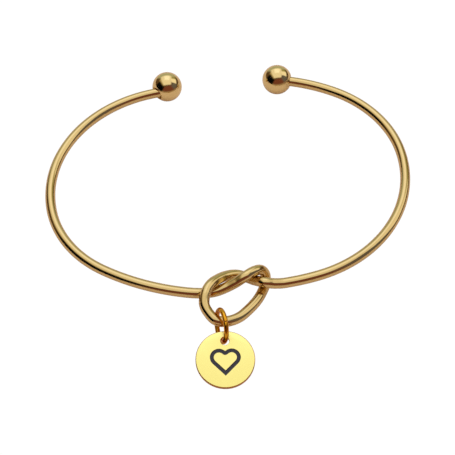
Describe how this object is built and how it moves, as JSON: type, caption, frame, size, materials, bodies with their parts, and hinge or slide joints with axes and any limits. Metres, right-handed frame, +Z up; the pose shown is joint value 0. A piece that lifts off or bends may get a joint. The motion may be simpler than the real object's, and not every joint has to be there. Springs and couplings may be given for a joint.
{
  "type": "charm bangle",
  "caption": "Open wire bangle with a ball on each end, an open love knot in its front, and a small round disc charm with an engraved heart hanging from the knot on a jump ring.",
  "frame": {"origin": "on the surface that the bangle lies on, under the middle of the hoop", "axes": "+Z up, along the axis that the wrist goes in by; -Y toward the knot and the charm, +Y toward the opening between the balls; +X to the right seen from above with the knot in front"},
  "size_m": [0.0638, 0.067, 0.0059],
  "materials": {
    "wire_gold": "polished gold plate",
    "ball_gold": "polished gold plate",
    "ring_gold": "polished gold plate",
    "disc_gold": "satin gold plate with a darkened engraving"
  },
  "bodies": {
    "root": {"bangle_wire": "wire_gold", "end_ball_left": "ball_gold", "end_ball_right": "ball_gold", "jump_ring": "ring_gold", "charm_disc": "disc_gold"}
  },
  "joints": []
}
